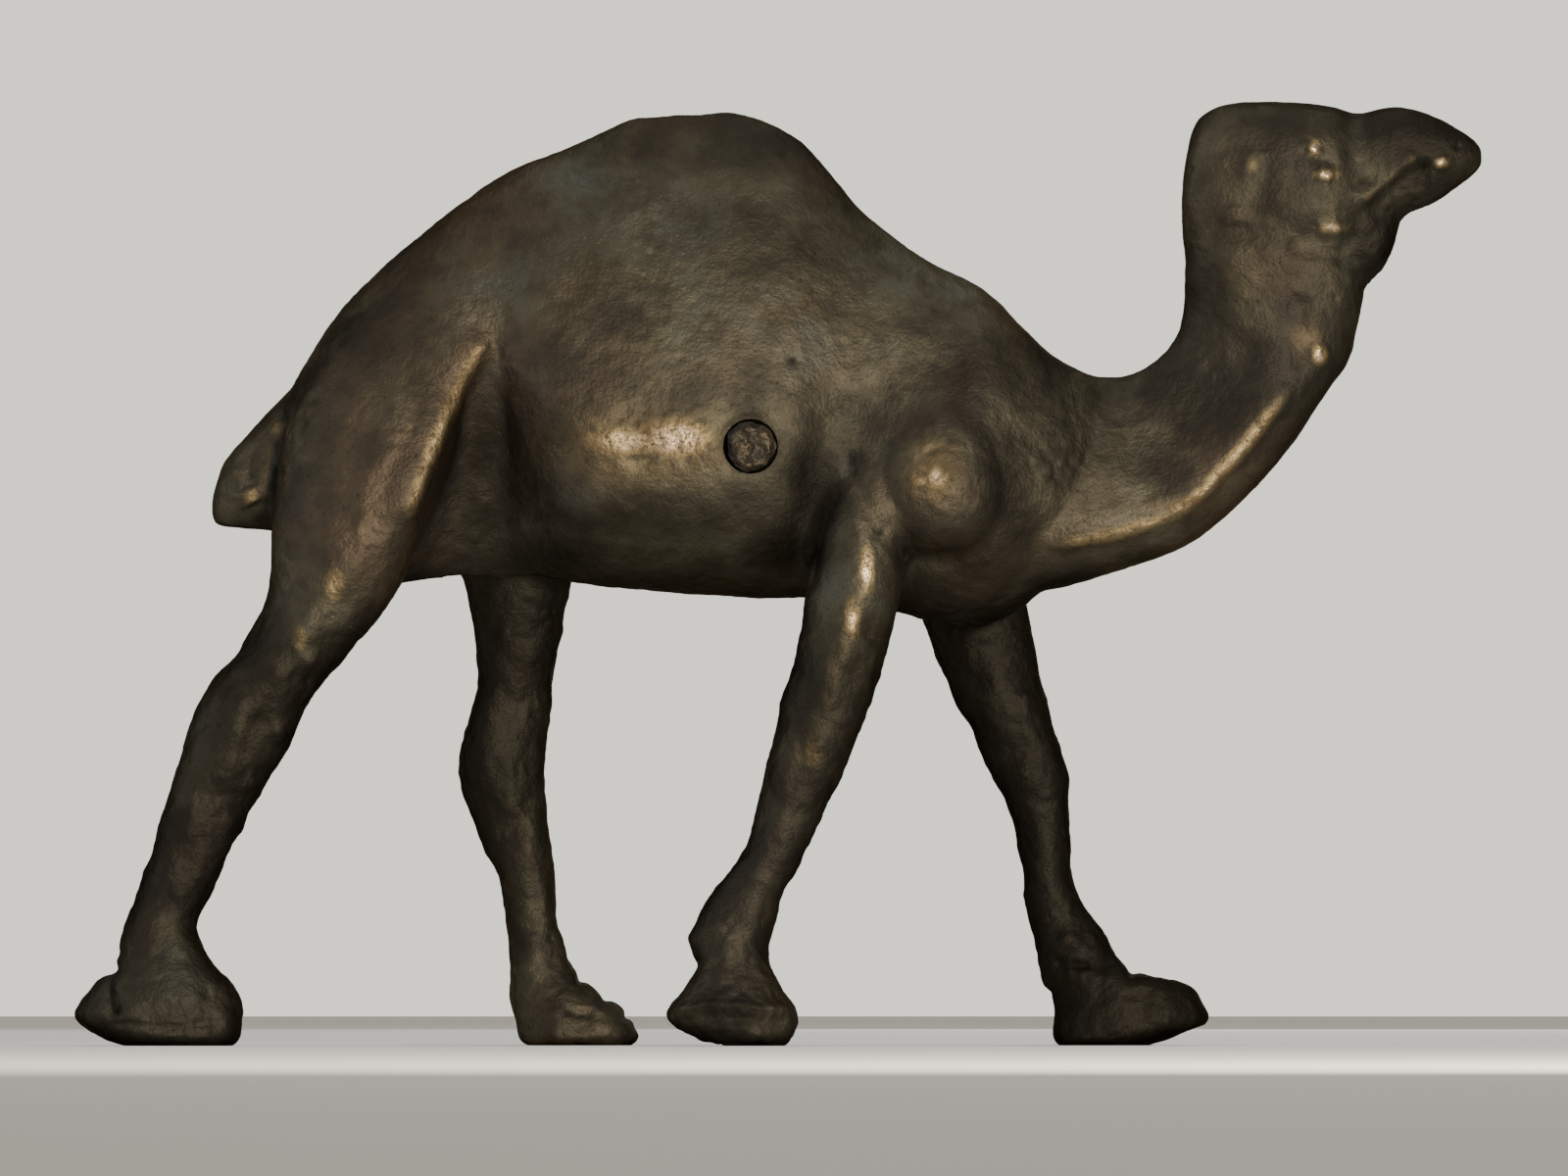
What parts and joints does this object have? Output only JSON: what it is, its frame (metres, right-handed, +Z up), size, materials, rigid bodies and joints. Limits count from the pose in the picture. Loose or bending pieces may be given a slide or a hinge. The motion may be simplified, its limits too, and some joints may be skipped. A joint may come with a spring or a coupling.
{
  "type": "dromedary statuette",
  "caption": "Walking dromedary camel in patinated cast bronze: a hollow trunk in two shells with solid legs, neck and tail pinned to it, free-standing on its feet.",
  "frame": {"origin": "on the ground, below the middle of the bounding box", "axes": "+X towards the nose, +Y towards the camel's left side, +Z up"},
  "size_m": [0.16, 0.032, 0.1076],
  "materials": {
    "trunk": "dark olive-brown patina on cast bronze, worn brassy on the barrel and shoulder",
    "neck_and_head": "dark olive-brown patina on cast bronze, worn brassy along the throat and brow",
    "leg": "dark olive-brown patina on cast bronze, worn along the shins",
    "tail": "dark olive-brown patina on cast bronze, pitted at its root",
    "pin": "bare bronze rod, its filed ends browned with age"
  },
  "bodies": {
    "root": {"trunk_shell_right": "trunk", "trunk_shell_left": "trunk", "neck_and_head": "neck_and_head", "fore_leg_right": "leg", "fore_leg_left": "leg", "hind_leg_right": "leg", "hind_leg_left": "leg", "tail": "tail", "tie_rivet": "pin", "dowel_rump": "pin", "dowel_breast": "pin", "dowel_fore_leg_right": "pin", "dowel_fore_leg_left": "pin", "dowel_hind_leg_right": "pin", "dowel_hind_leg_left": "pin", "dowel_neck": "pin", "dowel_tail": "pin"}
  },
  "joints": []
}
